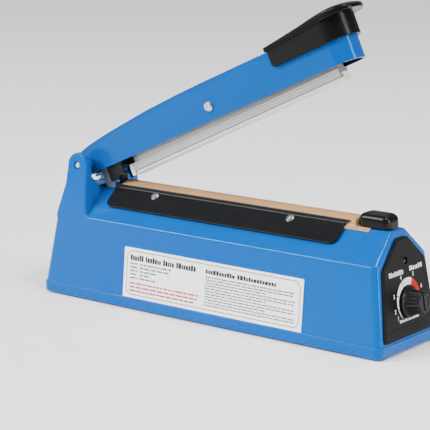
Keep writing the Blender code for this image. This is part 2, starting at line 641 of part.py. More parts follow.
def build_seat(steel, switch_mat):
    zero = place(0, 0, 0)
    seat = slab("spring_seat", ((-121.5, -20.2), (-98.0, -20.2), (-98.0, 20.2), (-121.5, 20.2)),
                place, SEAT_Z, SEAT_Z + 1.5, steel, zero)
    leg = block("tool", (-99.5, -98.0), (-8.0, 8.0), (36.0, SEAT_Z + 0.7), None, zero)
    combine(seat, [leg], "UNION")
    hole = rod("tool", ROD_R + 0.3, -6, 6, place(ROD_X, 0, SEAT_Z), (0, 0, 1), None, zero, 20)
    clean(combine(seat, [hole], "DIFFERENCE"))
    body = block("microswitch", (-120.0, -99.9), (-3.2, 3.2), (39.0, 49.5), switch_mat, zero)
    button = rod("tool", 1.2, -3, 1.6, place(ROD_X, 0, 49.5), (0, 0, 1), None, zero, 12)
    clean(combine(body, [button], "UNION"))


# ---------------------------------------------------------------- inside
def build_transformer(core_mat, coil_mat, steel):
    zero = place(0, 0, 0)
    core = block("transformer_core", (-28, 28), (-16, 16), (4.5, 52.5), core_mat, zero)
    tools = [block("tool", x, (-30, 30), (13.0, 44.0), None, zero) for x in ((-19, -9.5), (9.5, 19))]
    clean(combine(core, tools, "DIFFERENCE"))
    coil = block("transformer_coil", (-18.4, 18.4), (-25.5, 25.5), (13.6, 43.4), coil_mat, zero)
    inner = block("tool", (-10.1, 10.1), (-16.6, 16.6), (0, 60), None, zero)
    clean(combine(coil, [inner], "DIFFERENCE"))
    strap = ((-40, 3.2), (-28.4, 3.2), (-28.4, 52.9), (28.4, 52.9), (28.4, 3.2), (40, 3.2),
             (40, 4.4), (29.6, 4.4), (29.6, 54.1), (-29.6, 54.1), (-29.6, 4.4), (-40, 4.4))
    slab("transformer_strap", strap, lambda x, z, y: place(x, y, z), -9, 9, steel, zero)


def build_board(board_mat, relay_mat, can_mat, gland_mat):
    zero = place(0, 0, 0)
    block("timer_board", (88, 128), (-34, 34), (28.3, 29.9), board_mat, zero)
    block("board_relay", (92, 110), (-24, -9), (30.2, 45.0), relay_mat, zero)
    rod("board_capacitor", 5.0, 30.2, 46.0, place(104, 12, 0), (0, 0, 1), can_mat, zero, 20)
    gland = ((2.9, -4.0), (5.0, -4.0), (5.0, 2.0), (6.6, 2.0), (6.6, 4.0), (4.6, 9.5), (2.9, 9.5))
    turned("cord_gland", gland, place(-157.6, 0, 22.0), (-1, 0, 0), gland_mat, zero, 24)


def main():
    clear_scene()
    blue = material("blue_shell", (0.055, 0.275, 0.604), 0.0, 0.32)
    blue_arm = material("blue_arm", (0.030, 0.231, 0.565), 0.0, 0.30)
    black = material("panel_black", (0.028, 0.026, 0.026), 0.0, 0.55)
    grip_black = material("grip_black", (0.012, 0.012, 0.013), 0.0, 0.35)
    plate_black = material("plate_black", (0.020, 0.021, 0.023), 0.0, 0.42)
    cap_black = material("cap_black", (0.013, 0.013, 0.015), 0.0, 0.15)
    pusher_black = material("pusher_black", (0.014, 0.015, 0.016), 0.0, 0.40)
    knob_black = material("knob_black", (0.018, 0.018, 0.019), 0.0, 0.38)
    zinc = material("zinc_steel", (0.62, 0.62, 0.63), 1.0, 0.28)
    steel = material("galvanised_steel", (0.34, 0.37, 0.40), 1.0, 0.45)
    aluminium = material("bar_aluminium", (0.62, 0.61, 0.61), 1.0, 0.38)
    bed_alu = material("bed_aluminium", (0.55, 0.55, 0.56), 1.0, 0.45)
    nichrome = material("nichrome", (0.40, 0.38, 0.35), 1.0, 0.35)
    ptfe = material("ptfe_fabric", (0.50, 0.36, 0.22), 0.0, 0.60)
    silicone = material("white_silicone", (0.72, 0.72, 0.70), 0.0, 0.55)
    white = material("white_plastic", (0.80, 0.80, 0.78), 0.0, 0.40)
    brass = material("brass_terminal", (0.60, 0.45, 0.16), 1.0, 0.30)
    lens = material("red_lens", (0.16, 0.008, 0.010), 0.0, 0.12, 0.9)
    rubber = material("foot_rubber", (0.02, 0.02, 0.02), 0.0, 0.85)
    label = material("label_paper", (0.86, 0.87, 0.88), 0.0, 0.45)
    nylon = material("nylon_spacer", (0.03, 0.22, 0.55), 0.0, 0.40)
    spring = material("spring_steel", (0.45, 0.45, 0.46), 1.0, 0.30)
    board = material("board_green", (0.03, 0.16, 0.06), 0.0, 0.45)
    relay = material("relay_case", (0.03, 0.09, 0.30), 0.0, 0.40)
    can = material("capacitor_can", (0.05, 0.05, 0.07), 0.0, 0.35)
    core = material("core_steel", (0.20, 0.20, 0.21), 1.0, 0.55)
    coil = material("coil_wrap", (0.55, 0.33, 0.06), 0.0, 0.55)
    gland = material("gland_black", (0.015, 0.015, 0.015), 0.0, 0.50)

    build_housing(blue)
    build_underside(steel, rubber, zinc)
    build_panel(black, lens, steel, zinc, knob_black)
    build_label(label)
    build_bed(bed_alu, nichrome, ptfe, plate_black, zinc, cap_black, brass)
    pin = place(PIN_X, 0, PIN_Z)
    build_arm(blue_arm, zinc, steel, pusher_black, pin)
    build_grip(grip_black, pin)
    build_press_bar(aluminium, silicone, white, bar_at(0, 0, 0))
    build_hinge(zinc, nylon)
    build_rod(zinc, spring)
    build_seat(steel, pusher_black)
    build_transformer(core, coil, steel)
    build_board(board, relay, can, gland)


main()
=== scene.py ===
import math
import random

import bmesh
import bpy
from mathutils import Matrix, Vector


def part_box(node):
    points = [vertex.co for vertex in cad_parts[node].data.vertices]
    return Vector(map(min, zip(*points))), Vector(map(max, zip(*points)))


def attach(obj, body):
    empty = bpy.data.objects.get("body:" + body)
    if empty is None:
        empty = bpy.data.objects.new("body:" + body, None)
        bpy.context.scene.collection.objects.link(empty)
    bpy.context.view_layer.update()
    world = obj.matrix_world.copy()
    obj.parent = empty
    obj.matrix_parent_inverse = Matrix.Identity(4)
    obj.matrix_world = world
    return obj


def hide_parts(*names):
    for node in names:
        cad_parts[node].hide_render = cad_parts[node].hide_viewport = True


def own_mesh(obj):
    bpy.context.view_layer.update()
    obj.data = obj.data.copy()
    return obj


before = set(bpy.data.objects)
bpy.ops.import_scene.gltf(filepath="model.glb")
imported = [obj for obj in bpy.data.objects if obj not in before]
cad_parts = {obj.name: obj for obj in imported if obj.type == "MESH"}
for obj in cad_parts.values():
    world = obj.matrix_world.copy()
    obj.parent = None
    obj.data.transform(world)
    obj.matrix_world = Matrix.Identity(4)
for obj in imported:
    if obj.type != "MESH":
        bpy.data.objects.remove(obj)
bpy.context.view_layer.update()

# Looks for the hand impulse heat sealer. Drawing units are millimetres, as in the CAD: X along the
# sealer, -Y the operator's side, Z up from the housing's foot. place() turns a drawing point into
# metres. Names ending in _X, _Y and _Z are drawing coordinates; _U and _V are the arm's own axes, and
# _S runs up the panel or up the housing's slope.
MM = 0.001
SHIFT_X = -2.46
LIFT = 1.5

HALF_LENGTH = 160.0
HALF_WIDTH = 40.0
WALL = 2.6
RIM_Z = 8.0
RIM_STEP = 0.7
SHOULDER_Z = 64.0
SHOULDER_Y = 34.1
TOP_Z = 84.7
TOP_HALF = 9.45
FRONT_LEAN = 0.1393
REAR_LEAN = 0.166
SLOPE = math.atan2(TOP_Z - SHOULDER_Z, SHOULDER_Y - TOP_HALF)
EAR_INNER_Y = 23.3
EAR_R = 9.8
PANEL_ANGLE = math.atan(FRONT_LEAN)
PANEL_FOOT_X = HALF_LENGTH - RIM_STEP + FRONT_LEAN * RIM_Z

PIN_X = -130.1
PIN_Z = 103.5
PIN_R = 2.6
PIN_V = 8.9
OPEN_ANGLE = math.radians(24.4)
ARM_HALF = 14.4
ARM_WALL = 1.7
ARM_TAIL_U = -6.4
ARM_NOSE_U = 250.5
LIP_NOSE_U = 258.1
LIP_HALF = 18.6
ARM_TOP = ((-6.4, 20.1), (2.0, 22.2), (19.4, 24.3), (31.4, 25.4), (55.0, 27.2), (72.0, 28.3),
           (105.0, 29.4), (130.0, 29.7), (400.0, 29.7))

BED_X = (-100.9, 118.3)
SHEET_END_X = 130.8
PLATE_X = (-105.8, 110.8)
PLATE_LOW_S = 13.0
FLANGE_END_X = 113.8
FLANGE_TOP = 89.1
CAP_X = (118.6, 144.8)
DIAL_S = 33.7
RING_Y = 1.0
RING_S = 35.8
RING_R = 15.5
LAMP_Y = 1.0
LAMP_S = 63.6
KNOB_H = 15.4
KNOB_RIBS = 18
LAMP_HOLE_R = 2.9
SHAFT_HOLE_R = 4.0
PANEL_INK_H = (1.81, 1.86)
DIGIT_SIZE = 4.3
LABEL_INK_H = (0.425, 0.455)
ARM_SMOOTH = 38
FLOOR_HALF = 6.0
WORLD_STRENGTH = 0.26
SUN_STRENGTH = 4.2

NORMAL = Vector((math.cos(PANEL_ANGLE), 0, math.sin(PANEL_ANGLE)))


# ---------------------------------------------------------------- frames
def place(x, y, z):
    return Vector(((x + SHIFT_X) * MM, y * MM, (z + LIFT) * MM))


def arm_at(u, v, y):
    """A point in the arm's axes: u along its lower edge from the pin, v above that edge."""
    cos, sin = math.cos(OPEN_ANGLE), math.sin(OPEN_ANGLE)
    dv = v - PIN_V
    return place(PIN_X + u * cos - dv * sin, y, PIN_Z + u * sin + dv * cos)


def panel_at(y, s, h):
    """A point on the panel end: s up the face from the rim's foot, h off its surface."""
    cos, sin = math.cos(PANEL_ANGLE), math.sin(PANEL_ANGLE)
    return place(PANEL_FOOT_X - s * sin + h * cos, y, s * cos + h * sin)


def side_at(x, z, h):
    """A point on the operator's side face, h off its surface."""
    lean = math.atan2(HALF_WIDTH - RIM_STEP - SHOULDER_Y, SHOULDER_Z - RIM_Z)
    y = HALF_WIDTH - RIM_STEP - (z - RIM_Z) * math.tan(lean)
    return place(x, -(y + h * math.cos(lean)), z + h * math.sin(lean))


# ---------------------------------------------------------------- outlines
def arc(cx, cy, r, start, end, count):
    turns = [math.radians(start + (end - start) * k / count) for k in range(count + 1)]
    return [(cx + r * math.cos(t), cy + r * math.sin(t)) for t in turns]


def rounded(x0, x1, y0, y1, r, count=10):
    points = arc(x1 - r, y1 - r, r, 0, 90, count) + arc(x0 + r, y1 - r, r, 90, 180, count)
    return points + arc(x0 + r, y0 + r, r, 180, 270, count) + arc(x1 - r, y0 + r, r, 270, 360, count)


def fillet(points, closed=False, steps=6):
    """Rounds each (a, b, radius) corner of an outline or an open line."""
    out = []
    count = len(points)
    for i, (a, b, r) in enumerate(points):
        here = Vector((a, b))
        if r <= 0 or (not closed and i in (0, count - 1)):
            out.append((a, b))
            continue
        back = Vector(points[i - 1][:2]) - here
        ahead = Vector(points[(i + 1) % count][:2]) - here
        d0, d1 = back.normalized(), ahead.normalized()
        half = d0.angle(d1) / 2
        reach = min(r / math.tan(half), back.length * 0.49, ahead.length * 0.49)
        middle = (d0 + d1).normalized()
        centre = here + middle * (reach / math.cos(half))
        v0, v1 = here + d0 * reach - centre, here + d1 * reach - centre
        for k in range(steps + 1):
            spot = centre + v0.lerp(v1, k / steps).normalized() * v0.length
            out.append((spot.x, spot.y))
    return out


def inset(points, depth):
    """Moves a counter-clockwise outline inwards by a depth."""
    out = []
    count = len(points)
    for i in range(count):
        p, q = Vector(points[i - 1]), Vector(points[(i + 1) % count])
        along = (q - p).normalized()
        out.append((points[i][0] - along.y * depth, points[i][1] + along.x * depth))
    return out


# ---------------------------------------------------------------- meshes
def raw(name, verts, faces, smooth=32):
    """Makes an object from points and faces; edges sharper than smooth degrees stay crisp."""
    mesh = bpy.data.meshes.new(name)
    mesh.from_pydata([tuple(v) for v in verts], [], faces)
    bm = bmesh.new()
    bm.from_mesh(mesh)
    bmesh.ops.remove_doubles(bm, verts=bm.verts[:], dist=1e-6)
    bmesh.ops.dissolve_degenerate(bm, edges=bm.edges[:], dist=1e-7)
    bmesh.ops.recalc_face_normals(bm, faces=bm.faces[:])
    bm.to_mesh(mesh)
    bm.free()
    shade(mesh, smooth)
    obj = bpy.data.objects.new(name, mesh)
    bpy.context.scene.collection.objects.link(obj)
    return obj


def shade(mesh, smooth):
    mesh.polygons.foreach_set("use_smooth", [True] * len(mesh.polygons))
    mesh.set_sharp_from_angle(angle=math.radians(smooth))


def grid_faces(rows, count, closed=True):
    """Quads between successive rows of points."""
    span = count if closed else count - 1
    return [[k * count + i, k * count + (i + 1) % count, (k + 1) * count + (i + 1) % count,
             (k + 1) * count + i] for k in range(rows - 1) for i in range(span)]


def loft(name, rings, smooth=32):
    """Joins rings of points into a closed body."""
    n = len(rings[0])
    verts = [p for ring in rings for p in ring]
    faces = grid_faces(len(rings), n)
    faces.append(list(range(n))[::-1])
    faces.append(list(range(len(verts) - n, len(verts))))
    return raw(name, verts, faces, smooth)


def slab(name, outline, at, h0, h1):
    """A flat outline given thickness, placed through one of the frame functions."""
    return loft(name, [[at(a, b, h) for a, b in outline] for h in (h0, h1)])


def soften(obj, width, segments=3, angle=30):
    mod = obj.modifiers.new("soften", "BEVEL")
    mod.width = width * MM
    mod.segments = segments
    mod.limit_method = "ANGLE"
    mod.angle_limit = math.radians(angle)
    return obj


def apply(obj, smooth=32):
    graph = bpy.context.evaluated_depsgraph_get()
    mesh = bpy.data.meshes.new_from_object(obj.evaluated_get(graph))
    obj.modifiers.clear()
    obj.data = mesh
    shade(mesh, smooth)
    return obj


def combine(target, tool, operation, smooth=32):
    """Cuts or joins two closed bodies and removes the tool."""
    mod = target.modifiers.new("cut", "BOOLEAN")
    mod.operation = operation
    mod.solver = "EXACT"
    mod.object = tool
    apply(target, smooth)
    bpy.data.objects.remove(tool, do_unlink=True)
    return target


def rod(name, r, h0, h1, centre, axis):
    """A round bar from h0 to h1 along an axis through its centre."""
    count = 40
    turn = Vector((0, 0, 1)).rotation_difference(Vector(axis).normalized())
    rings = [[centre + turn @ (Vector((r * math.cos(2 * math.pi * k / count),
                                       r * math.sin(2 * math.pi * k / count), h)) * MM)
              for k in range(count)] for h in (h0, h1)]
    return loft(name, rings)


def join(parts, name):
    bm = bmesh.new()
    for part in parts:
        bm.from_mesh(part.data)
        bpy.data.objects.remove(part, do_unlink=True)
    mesh = bpy.data.meshes.new(name)
    bm.to_mesh(mesh)
    bm.free()
    shade(mesh, 32)
    obj = bpy.data.objects.new(name, mesh)
    bpy.context.scene.collection.objects.link(obj)
    return obj


def dress(obj, body, mat, slot, *nodes, even=True):
    """Gives a finished piece its material and body, and hides the CAD nodes it stands for.
    The slot argument is not used. With no material given, the piece keeps its own."""
    if mat:
        obj.data.materials.clear()
        obj.data.materials.append(mat)
    if even:
        obj.modifiers.new("even", "WEIGHTED_NORMAL").keep_sharp = True
    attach(obj, body)
    if nodes:
        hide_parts(*nodes)
    return obj


# ---------------------------------------------------------------- materials
def wire(mat, kind, links=None, **values):
    """Adds a node; values are its inputs by name, links feed its inputs from other sockets."""
    nodes = mat.node_tree.nodes
    made = nodes.new(kind)
    for key, value in values.items():
        if key in made.bl_rna.properties:
            setattr(made, key, value)
        else:
            made.inputs[key.replace("_", " ")].default_value = value
    for key, socket in (links or {}).items():
        mat.node_tree.links.new(socket, made.inputs[key])
    return made


def stuff(name, color, rough, metal=0.0, vary=0.06, blotch=30.0, rough_vary=0.05, grain=0.12,
          grain_scale=1500.0, depth=0.03, stretch=(1, 1, 1), specular=0.5, tint=None, weave=0.0):
    """A procedural surface: slow colour drift, uneven polish and fine relief, in object space."""
    mat = bpy.data.materials.new(name)
    mat.use_nodes = True
    links = mat.node_tree.links
    shader = mat.node_tree.nodes["Principled BSDF"]
    shader.inputs["Metallic"].default_value = metal
    shader.inputs["Specular IOR Level"].default_value = specular
    if tint:
        shader.inputs["Specular Tint"].default_value = (*tint, 1)
    where = wire(mat, "ShaderNodeTexCoord").outputs["Object"]
    spot = wire(mat, "ShaderNodeMapping", {"Vector": where}, Scale=stretch).outputs["Vector"]
    slow = wire(mat, "ShaderNodeTexNoise", {"Vector": spot}, Scale=blotch, Detail=4.0, Roughness=0.6)
    dark = tuple(c * (1 - vary) for c in color)
    light = tuple(min(c * (1 + vary), 1.0) for c in color)
    ramp = wire(mat, "ShaderNodeValToRGB", {"Fac": slow.outputs["Fac"]})
    ramp.color_ramp.interpolation = "EASE"
    ramp.color_ramp.elements[0].position = 0.2
    ramp.color_ramp.elements[0].color = (*dark, 1)
    ramp.color_ramp.elements[1].position = 0.8
    ramp.color_ramp.elements[1].color = (*light, 1)
    links.new(ramp.outputs["Color"], shader.inputs["Base Color"])
    uneven = wire(mat, "ShaderNodeTexNoise", {"Vector": spot}, Scale=blotch * 4, Detail=6.0)
    polish = wire(mat, "ShaderNodeMapRange", {"Value": uneven.outputs["Fac"]}, From_Min=0.1,
                  From_Max=0.9, To_Min=max(rough - rough_vary, 0.02), To_Max=rough + rough_vary)
    links.new(polish.outputs["Result"], shader.inputs["Roughness"])
    fine = wire(mat, "ShaderNodeTexNoise", {"Vector": spot}, Scale=grain_scale, Detail=3.0)
    height = fine.outputs["Fac"]
    if weave:
        height = add_weave(mat, where, weave, ramp, shader)
    bump = wire(mat, "ShaderNodeBump", {"Height": height}, Strength=grain, Distance=depth * MM)
    links.new(bump.outputs["Normal"], shader.inputs["Normal"])
    return mat


def add_weave(mat, where, pitch, ramp, shader):
    """Plain-weave threads crossing along X and Y, as relief and as slightly darker gaps."""
    waves = []
    for axis in ("X", "Y"):
        wave = wire(mat, "ShaderNodeTexWave", {"Vector": where}, Scale=math.pi / (pitch * MM * 10) / 2)
        wave.wave_type = "BANDS"
        wave.bands_direction = axis
        waves.append(wave.outputs["Fac"])
    cross = wire(mat, "ShaderNodeMath", {0: waves[0], 1: waves[1]}, operation="MAXIMUM").outputs[0]
    shadow = wire(mat, "ShaderNodeMapRange", {"Value": cross}, To_Min=0.90, To_Max=1.03)
    tint = wire(mat, "ShaderNodeVectorMath", {0: ramp.outputs["Color"]}, operation="SCALE")
    mat.node_tree.links.new(shadow.outputs["Result"], tint.inputs["Scale"])
    mat.node_tree.links.new(tint.outputs["Vector"], shader.inputs["Base Color"])
    return cross


BLUE_TINT = (0.08, 0.55, 1.0)
BLUE = stuff("blue_plastic", (0.0001, 0.070, 0.312), 0.17, vary=0.025, blotch=9, rough_vary=0.03,
             grain=0.10, grain_scale=1400, depth=0.02, specular=0.32, tint=BLUE_TINT)
# The housing's blue plastic drawn darker for the arm and the pin spacers: painted shade.
BLUE_ARM_SHADED = stuff("blue_arm_plastic_shaded", (0.0001, 0.058, 0.268), 0.17, vary=0.025, blotch=9,
                 rough_vary=0.03, grain=0.10, grain_scale=1400, depth=0.02, specular=0.36,
                 tint=BLUE_TINT)
# Near-black blue for the inner faces of the arm's wall: painted shade of the arm's hollow underside.
ARM_INSIDE_SHADE = stuff("arm_inside_painted_shade", (0.0003, 0.006, 0.028), 0.60, vary=0.05, blotch=9, grain=0.10,
                   specular=0.10)
PANEL_BLACK = stuff("panel_plastic", (0.0040, 0.0038, 0.0038), 0.46, vary=0.12, blotch=40, grain=0.30,
                    grain_scale=2400, depth=0.04, specular=0.10)
GRIP_BLACK = stuff("grip_plastic", (0.0032, 0.0032, 0.0034), 0.26, vary=0.15, blotch=25,
                   rough_vary=0.05, grain=0.14, grain_scale=1800, depth=0.02, specular=0.15)
PLATE_BLACK = stuff("plate_enamel", (0.0052, 0.0055, 0.0064), 0.34, vary=0.15, blotch=30, grain=0.20,
                    grain_scale=1100, depth=0.02, specular=0.13)
CAP_BLACK = stuff("cap_plastic", (0.0030, 0.0030, 0.0034), 0.24, vary=0.2, blotch=30, rough_vary=0.03,
                  grain=0.05, depth=0.02, specular=0.15)
SADDLE_BLACK = stuff("saddle_plastic", (0.0060, 0.0065, 0.0070), 0.38, vary=0.2, grain=0.2,
                     specular=0.2)
KNOB_BLACK = stuff("knob_plastic", (0.0038, 0.0038, 0.0040), 0.32, vary=0.15, grain=0.2,
                   grain_scale=2000, depth=0.03, specular=0.18)
ZINC = stuff("bright_zinc", (0.62, 0.62, 0.63), 0.24, metal=1.0, vary=0.10, blotch=160, grain=0.25,
             grain_scale=900, depth=0.02, rough_vary=0.08)
GALVANISED = stuff("galvanised_sheet", (0.30, 0.33, 0.36), 0.40, metal=1.0, vary=0.22, blotch=220,
                   grain=0.3, grain_scale=500, depth=0.03, rough_vary=0.10)
EXTRUSION = stuff("extruded_aluminium", (0.52, 0.51, 0.52), 0.36, metal=0.80, vary=0.05, blotch=60,
                  grain=0.30, grain_scale=700, depth=0.02, stretch=(0.05, 1, 1), rough_vary=0.06)
SILICONE = stuff("white_silicone", (0.66, 0.66, 0.60), 0.46, vary=0.03, blotch=50, grain=0.3,
                 grain_scale=900, depth=0.04, specular=0.35)
WHITE = stuff("white_plastic", (0.80, 0.80, 0.77), 0.35, vary=0.03, grain=0.15, specular=0.4)
PTFE = stuff("coated_fabric", (0.370, 0.205, 0.090), 0.44, vary=0.12, blotch=45, grain=0.5, depth=0.04,
             rough_vary=0.08, weave=0.55, specular=0.25)
LABEL = stuff("label_film", (0.90, 0.90, 0.91), 0.36, vary=0.012, blotch=20, grain=0.06, depth=0.02,
              specular=0.3)
INK = stuff("label_ink", (0.012, 0.012, 0.013), 0.45, vary=0.25, blotch=400, grain=0.1, specular=0.2)
INK_GREY = stuff("label_ink_grey", (0.10, 0.10, 0.11), 0.45, vary=0.3, blotch=500, grain=0.1,
                 specular=0.2)
INK_RED = stuff("label_ink_red", (0.36, 0.03, 0.04), 0.45, vary=0.3, blotch=500, grain=0.1,
                specular=0.2)
PRINT_WHITE = stuff("panel_print_white", (0.62, 0.62, 0.62), 0.50, vary=0.05, blotch=300, grain=0.1,
                    specular=0.2)
PRINT_RED = stuff("panel_print_red", (0.34, 0.0008, 0.0030), 0.50, vary=0.08, blotch=300, grain=0.1,
                  specular=0.15)
LENS = stuff("red_lens", (0.022, 0.0008, 0.0016), 0.12, vary=0.2, blotch=200, grain=0.05, specular=0.25)
RUBBER = stuff("foot_rubber", (0.012, 0.012, 0.012), 0.75, vary=0.2, grain=0.3, specular=0.2)
# Near-black steel for the spring, its seat and the push rod in the slot under the saddle: painted shade
# of that slot.
SHADED_STEEL = stuff("steel_painted_shade", (0.045, 0.046, 0.050), 0.34, metal=0.9, vary=0.2, blotch=200,
                    grain=0.15)
BRACKET = stuff("bracket_zinc", (0.15, 0.155, 0.165), 0.42, metal=0.25, vary=0.22, blotch=220,
                grain=0.25, grain_scale=500, depth=0.03, rough_vary=0.10)
# Light grey, mostly non-metallic, for the link fork: partly the plating's own colour, partly painted
# highlight, so the prongs read white.
NICKEL_AND_GLINT = stuff("nickel_and_painted_highlight", (0.74, 0.74, 0.76), 0.30, metal=0.3, vary=0.08, blotch=200, grain=0.15)
BRASS = stuff("brass", (0.56, 0.38, 0.12), 0.28, metal=1.0, vary=0.12, blotch=200, grain=0.15)
SPRING = stuff("spring_steel", (0.42, 0.42, 0.44), 0.28, metal=1.0, vary=0.12, blotch=200, grain=0.15)
BOARD = stuff("board_green", (0.014, 0.090, 0.030), 0.40, vary=0.15, blotch=90, grain=0.15,
              specular=0.3)
RELAY = stuff("relay_case", (0.012, 0.045, 0.200), 0.35, vary=0.05, grain=0.1, specular=0.3)
CAN = stuff("capacitor_can", (0.02, 0.02, 0.03), 0.30, vary=0.1, grain=0.1, specular=0.3)
CORE = stuff("core_lamination", (0.16, 0.16, 0.17), 0.50, metal=0.8, vary=0.2, grain=0.5,
             grain_scale=900, stretch=(0.05, 1, 0.05))
COIL = stuff("coil_wrap", (0.40, 0.22, 0.03), 0.50, vary=0.12, grain=0.3, stretch=(1, 1, 0.1),
             specular=0.3)

NODE_LOOKS = {
    "bottom_plate": GALVANISED, "timer_pot": GALVANISED, "spring_seat": SHADED_STEEL,
    "transformer_strap": GALVANISED, "pusher_bracket": BRACKET, "pot_nut": ZINC,
    "hinge_pin": ZINC, "push_rod": SHADED_STEEL, "link_fork": NICKEL_AND_GLINT, "pivot_screw": ZINC,
    "pivot_nut": ZINC,
    "grip_screw": ZINC, "pin_spacer_front": BLUE_ARM_SHADED, "pin_spacer_back": BLUE_ARM_SHADED, "bed_bar": EXTRUSION,
    "press_bar": EXTRUSION, "heating_element": SPRING, "front_terminal": BRASS,
    "rear_terminal": BRASS, "indicator_lens": LENS, "silicone_strip": SILICONE,
    "bar_end_piece": WHITE, "pusher_block": SADDLE_BLACK, "microswitch": SADDLE_BLACK,
    "cord_gland": SADDLE_BLACK, "timer_board": BOARD, "board_relay": RELAY,
    "board_capacitor": CAN, "transformer_core": CORE, "transformer_coil": COIL}


def dress_nodes():
    """Gives the CAD nodes that stay in view their finished materials."""
    for name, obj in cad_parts.items():
        mat = NODE_LOOKS.get(name)
        if name.startswith("foot_"):
            mat = RUBBER
        if "screw" in name:
            mat = ZINC
        if mat:
            for slot in obj.material_slots:
                slot.material = mat
            if not obj.material_slots:
                obj.data.materials.append(mat)


# ---------------------------------------------------------------- housing
def side_profile():
    """(half width, height) of the housing from its foot to its flat top, corners rounded."""
    corners = [(HALF_WIDTH - 0.6, 0.0, 0), (HALF_WIDTH, 0.6, 0.5), (HALF_WIDTH, RIM_Z - 0.1, 0.45),
               (HALF_WIDTH - RIM_STEP, RIM_Z + 0.25, 0.3), (SHOULDER_Y, SHOULDER_Z, 2.4),
               (TOP_HALF, TOP_Z, 2.2), (6.0, TOP_Z, 0)]
    line = fillet(corners, steps=5)
    out = []
    for (y0, z0), (y1, z1) in zip(line, line[1:]):
        cuts = max(int(abs(z1 - z0) // 14), 1)
        out += [(y0 + (y1 - y0) * k / cuts, z0 + (z1 - z0) * k / cuts) for k in range(cuts)]
    return out


def shell_ring(hy, z, shrink=0.0):
    """The housing's plan outline at one height: both ends lean in, and the top edge is rounded."""
    base = HALF_LENGTH - RIM_STEP
    extra = max(hy - (HALF_WIDTH - RIM_STEP), 0.0) if z < RIM_Z + 0.3 else 0.0
    high = max(z - RIM_Z, 0.0)
    edge = 2.0
    over = max(z - (TOP_Z - edge), 0.0)
    turn = edge - math.sqrt(max(edge * edge - over * over, 0.0))
    x1 = base + extra - FRONT_LEAN * high - turn - shrink
    x0 = -(base + extra - REAR_LEAN * high) + turn + shrink
    r = 6.0 - 0.8 * min(z / SHOULDER_Z, 1.0) - 2.6 * max(z - SHOULDER_Z, 0) / (TOP_Z - SHOULDER_Z)
    return [place(x, y, z) for x, y in rounded(x0, x1, -hy, hy, r, 8)]


def ear(side):
    """One hinge ear, from the housing's slope up to its round crown."""
    left = [(-149.2, 60.0, 0), (-149.0, 64.0, 6.0), (-141.3, 88.0, 14.0), (-140.0, 99.0, 4.0)]
    crown = [(a, b, 0) for a, b in arc(PIN_X, PIN_Z, EAR_R, 174, 14, 20)]
    right = [(-119.8, 98.0, 0), (-118.9, 73.0, 8.0), (-117.6, 66.6, 3.0), (-114.0, 63.6, 2.0),
             (-110.0, 61.5, 0)]
    outline = fillet(left + crown + right, closed=False, steps=8)

    def at(x, z, h):
        outer = SHOULDER_Y + 0.02 - 0.105 * (z - SHOULDER_Z)
        return place(x, side * (outer if h else EAR_INNER_Y), z)

    return apply(soften(slab("ear", outline, at, 0, 1), 1.5, 4, 40))


def gusset(side):
    """The sloping foot inside each ear, above the housing's slope."""
    corners = [(24.5, 95.0, 0), (23.2, 94.0, 2.0), (14.8, 84.8, 1.0), (14.8, 79.8, 0), (24.5, 71.4, 0)]
    section = fillet(corners, True)
    return slab("gusset", section, lambda y, z, x: place(x, side * y, z), -146.0, -119.6)


def build_housing():
    outer = [shell_ring(hy, z) for hy, z in side_profile()]
    shell = loft("housing_shell", outer)
    low, high = HALF_WIDTH - WALL, SHOULDER_Z - 1.4
    walls = [(low, -1.0), (low - RIM_STEP, RIM_Z), (SHOULDER_Y - WALL, high), (8.2, TOP_Z - WALL)]
    combine(shell, loft("cavity", [shell_ring(hy, z, WALL) for hy, z in walls]), "DIFFERENCE")
    for side in (-1, 1):
        combine(shell, ear(side), "UNION")
        combine(shell, gusset(side), "UNION")
    slot = rounded(-127.5, -104.2, -9.0, 9.0, 1.0, 3)
    combine(shell, slab("slot", slot, place, 78.0, 90.0), "DIFFERENCE")
    for side in (-1, 1):
        hole = rod("hole", PIN_R + 0.35, -12, 12, place(PIN_X, side * 30, PIN_Z), (0, 1, 0))
        combine(shell, hole, "DIFFERENCE")
    lamp = rod("hole", LAMP_HOLE_R, -12, 8, panel_at(LAMP_Y, LAMP_S, 0), NORMAL)
    combine(shell, lamp, "DIFFERENCE", 28)
    dress(shell, "base", BLUE, "blue_shell", "base_housing")


# ---------------------------------------------------------------- panel, dial and knob
def build_panel():
    right = [(30.2, 9.6, 4.6), (34.2, 10.2, 4.0), (34.0, 15.0, 2.0), (28.4, 61.4, 3.0),
             (8.2, 79.6, 2.6), (5.0, 80.6, 1.0)]
    left = [(-a, b, r) for a, b, r in reversed(right)]
    outline = fillet(right + left, closed=True, steps=4)
    steps = ((0.0, 0.3), (0.0, 1.0), (0.15, 1.25), (0.45, 1.38), (1.5, 1.4), (1.62, 1.5), (1.66, 1.7),
             (1.85, 1.8))
    rings = [[panel_at(a, b, h) for a, b in inset(outline, d)] for d, h in steps]
    panel = loft("panel_plate", rings)
    for r, y, s in ((LAMP_HOLE_R, LAMP_Y, LAMP_S), (SHAFT_HOLE_R, 0, DIAL_S)):
        combine(panel, rod("hole", r, -3, 4, panel_at(y, s, 0), NORMAL), "DIFFERENCE")
    dress(panel, "base", PANEL_BLACK, "panel_black", "control_panel")


def dial_band(start, end):
    """A flat piece of the dial's ring between two angles; the hole in the ring is off its centre."""
    count = max(int(abs(end - start) / 4), 4)
    rim, inner = [], []
    for k in range(count + 1):
        angle = start + (end - start) * k / count
        t = math.radians(angle)
        hole = 13.0 + 2.7 * math.cos(math.radians(angle + 100))
        rim.append((RING_Y + RING_R * math.cos(t), RING_S + RING_R * math.sin(t)))
        inner.append((RING_Y + hole * math.cos(t), RING_S + hole * math.sin(t)))
    return slab("band", rim + inner[::-1], panel_at, *PANEL_INK_H)


